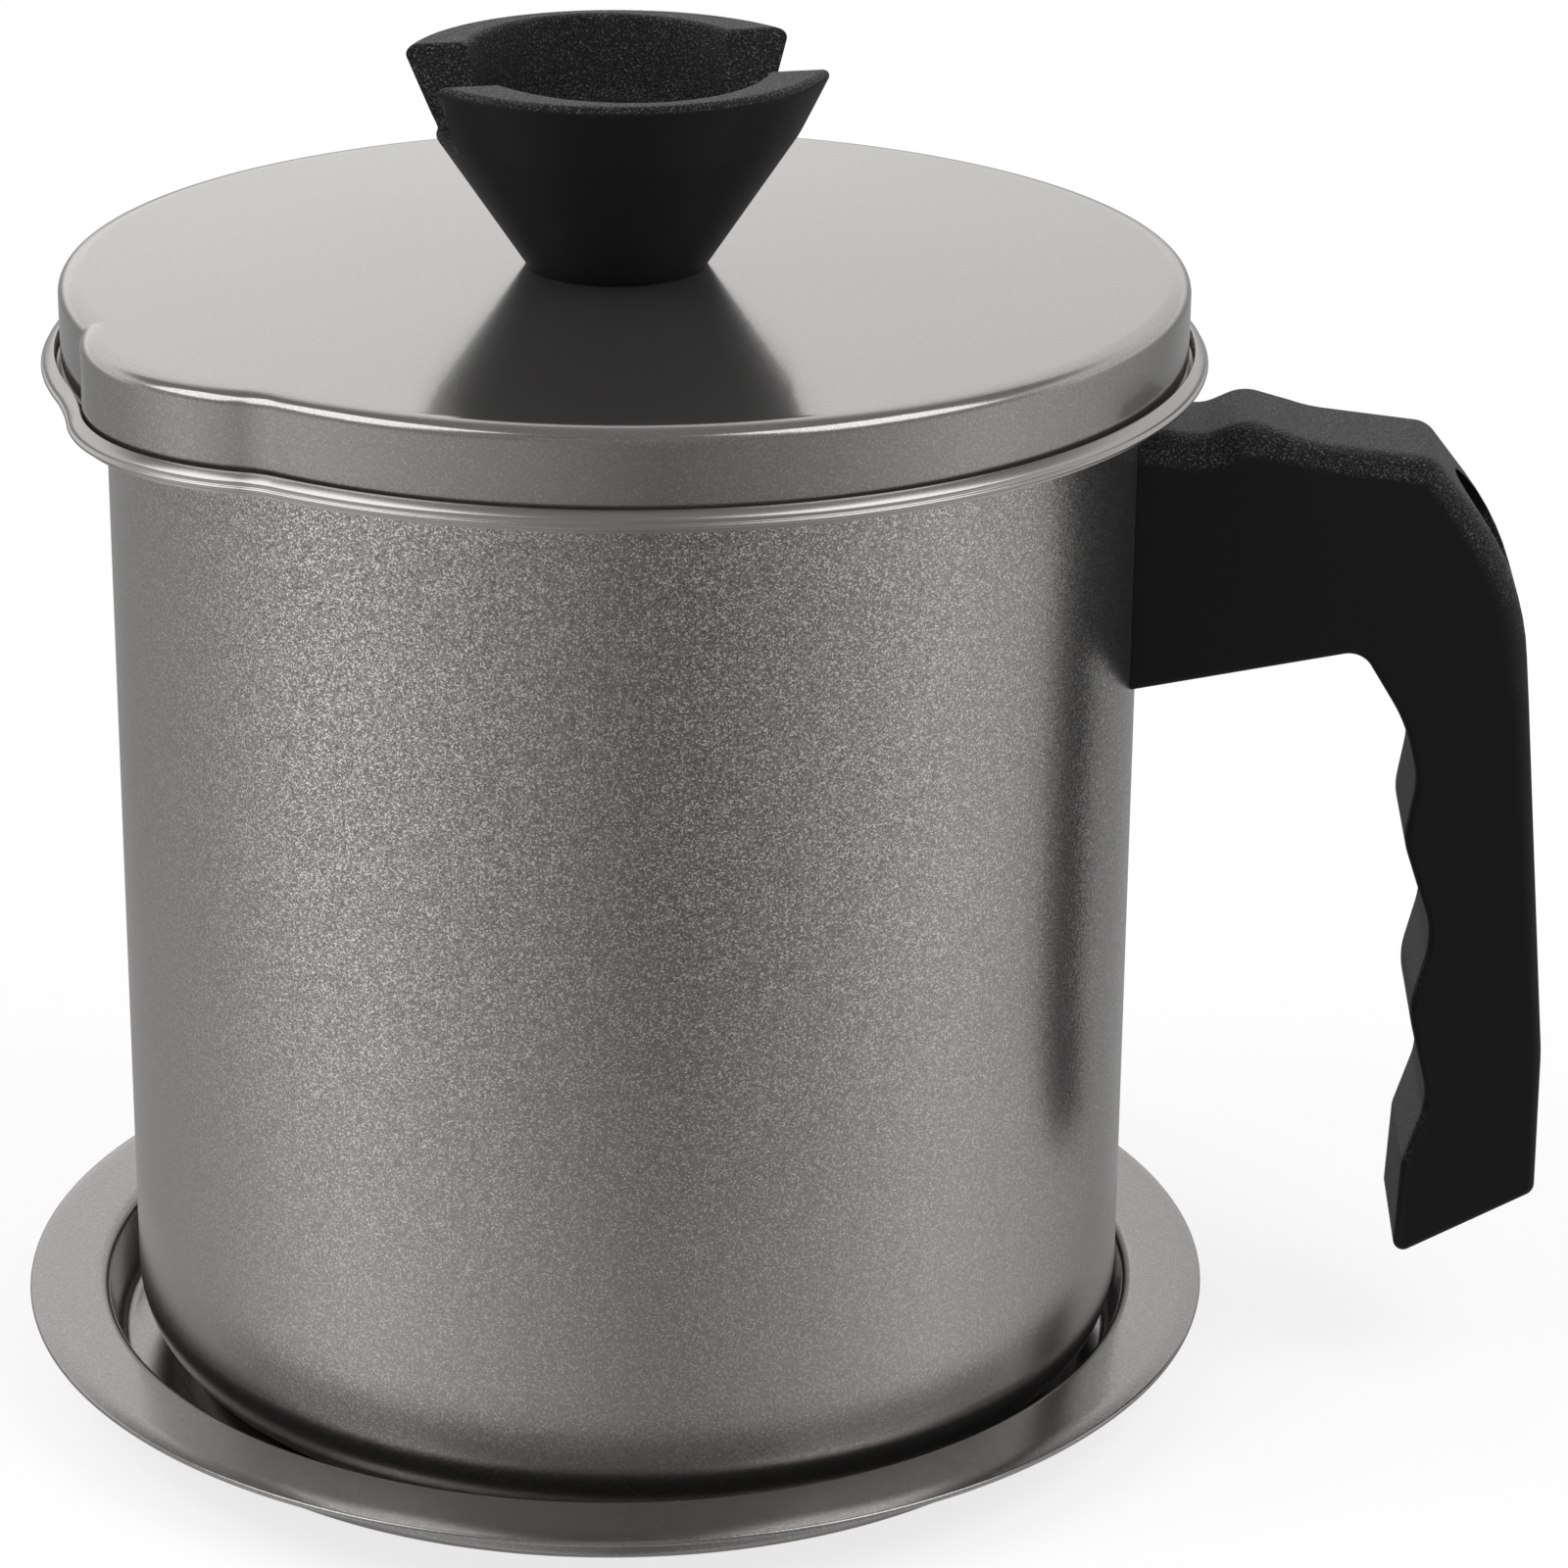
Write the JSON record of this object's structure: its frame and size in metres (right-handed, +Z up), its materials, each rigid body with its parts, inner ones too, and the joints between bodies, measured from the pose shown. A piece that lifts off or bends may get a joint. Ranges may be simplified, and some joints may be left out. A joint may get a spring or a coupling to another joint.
{
  "type": "bacon grease container",
  "caption": "Round lidded pot for kitchen grease with a pouring spout, curved black side handle, cupped cone knob, lift-out strainer and a saucer tray.",
  "frame": {"origin": "centre of the tray's flat base, on the floor", "axes": "+Z up, +X towards the handle, +Y completes the right-handed frame; the spout points to -X and -Y"},
  "size_m": [0.1832, 0.144, 0.1593],
  "materials": {
    "body_paint": "warm grey metallic enamel, satin",
    "tray_paint": "grey metallic enamel, satin",
    "black_phenolic": "black moulded, fine grain",
    "stainless": "stainless steel, fine brushed",
    "wire_mesh": "woven stainless wire",
    "zinc_steel": "zinc plated steel",
    "brass": "turned brass"
  },
  "bodies": {
    "tray": {"tray": "tray_paint"},
    "pot": {"pot_body": "body_paint", "handle_bracket": "stainless", "handle_grip": "black_phenolic", "handle_flat_washer": "zinc_steel", "handle_spring_washer": "zinc_steel", "handle_screw": "zinc_steel"},
    "strainer": {"strainer_frame": "stainless", "strainer_mesh": "wire_mesh", "strainer_clamp_ring": "stainless", "strainer_lift_loop": "stainless"},
    "lid": {"lid_shell": "body_paint", "lid_knob": "black_phenolic", "knob_insert": "brass", "knob_flat_washer": "zinc_steel", "knob_spring_washer": "zinc_steel", "knob_screw": "zinc_steel"}
  },
  "joints": [
    {"name": "pot_lift", "type": "slide", "parent": "tray", "child": "pot", "axis": [0, 0, 1], "range_m": [0, 0.04]},
    {"name": "strainer_lift", "type": "slide", "parent": "pot", "child": "strainer", "axis": [0, 0, 1], "range_m": [0, 0.04]},
    {"name": "lid_lift", "type": "slide", "parent": "strainer", "child": "lid", "axis": [0, 0, 1], "range_m": [0, 0.05]}
  ]
}
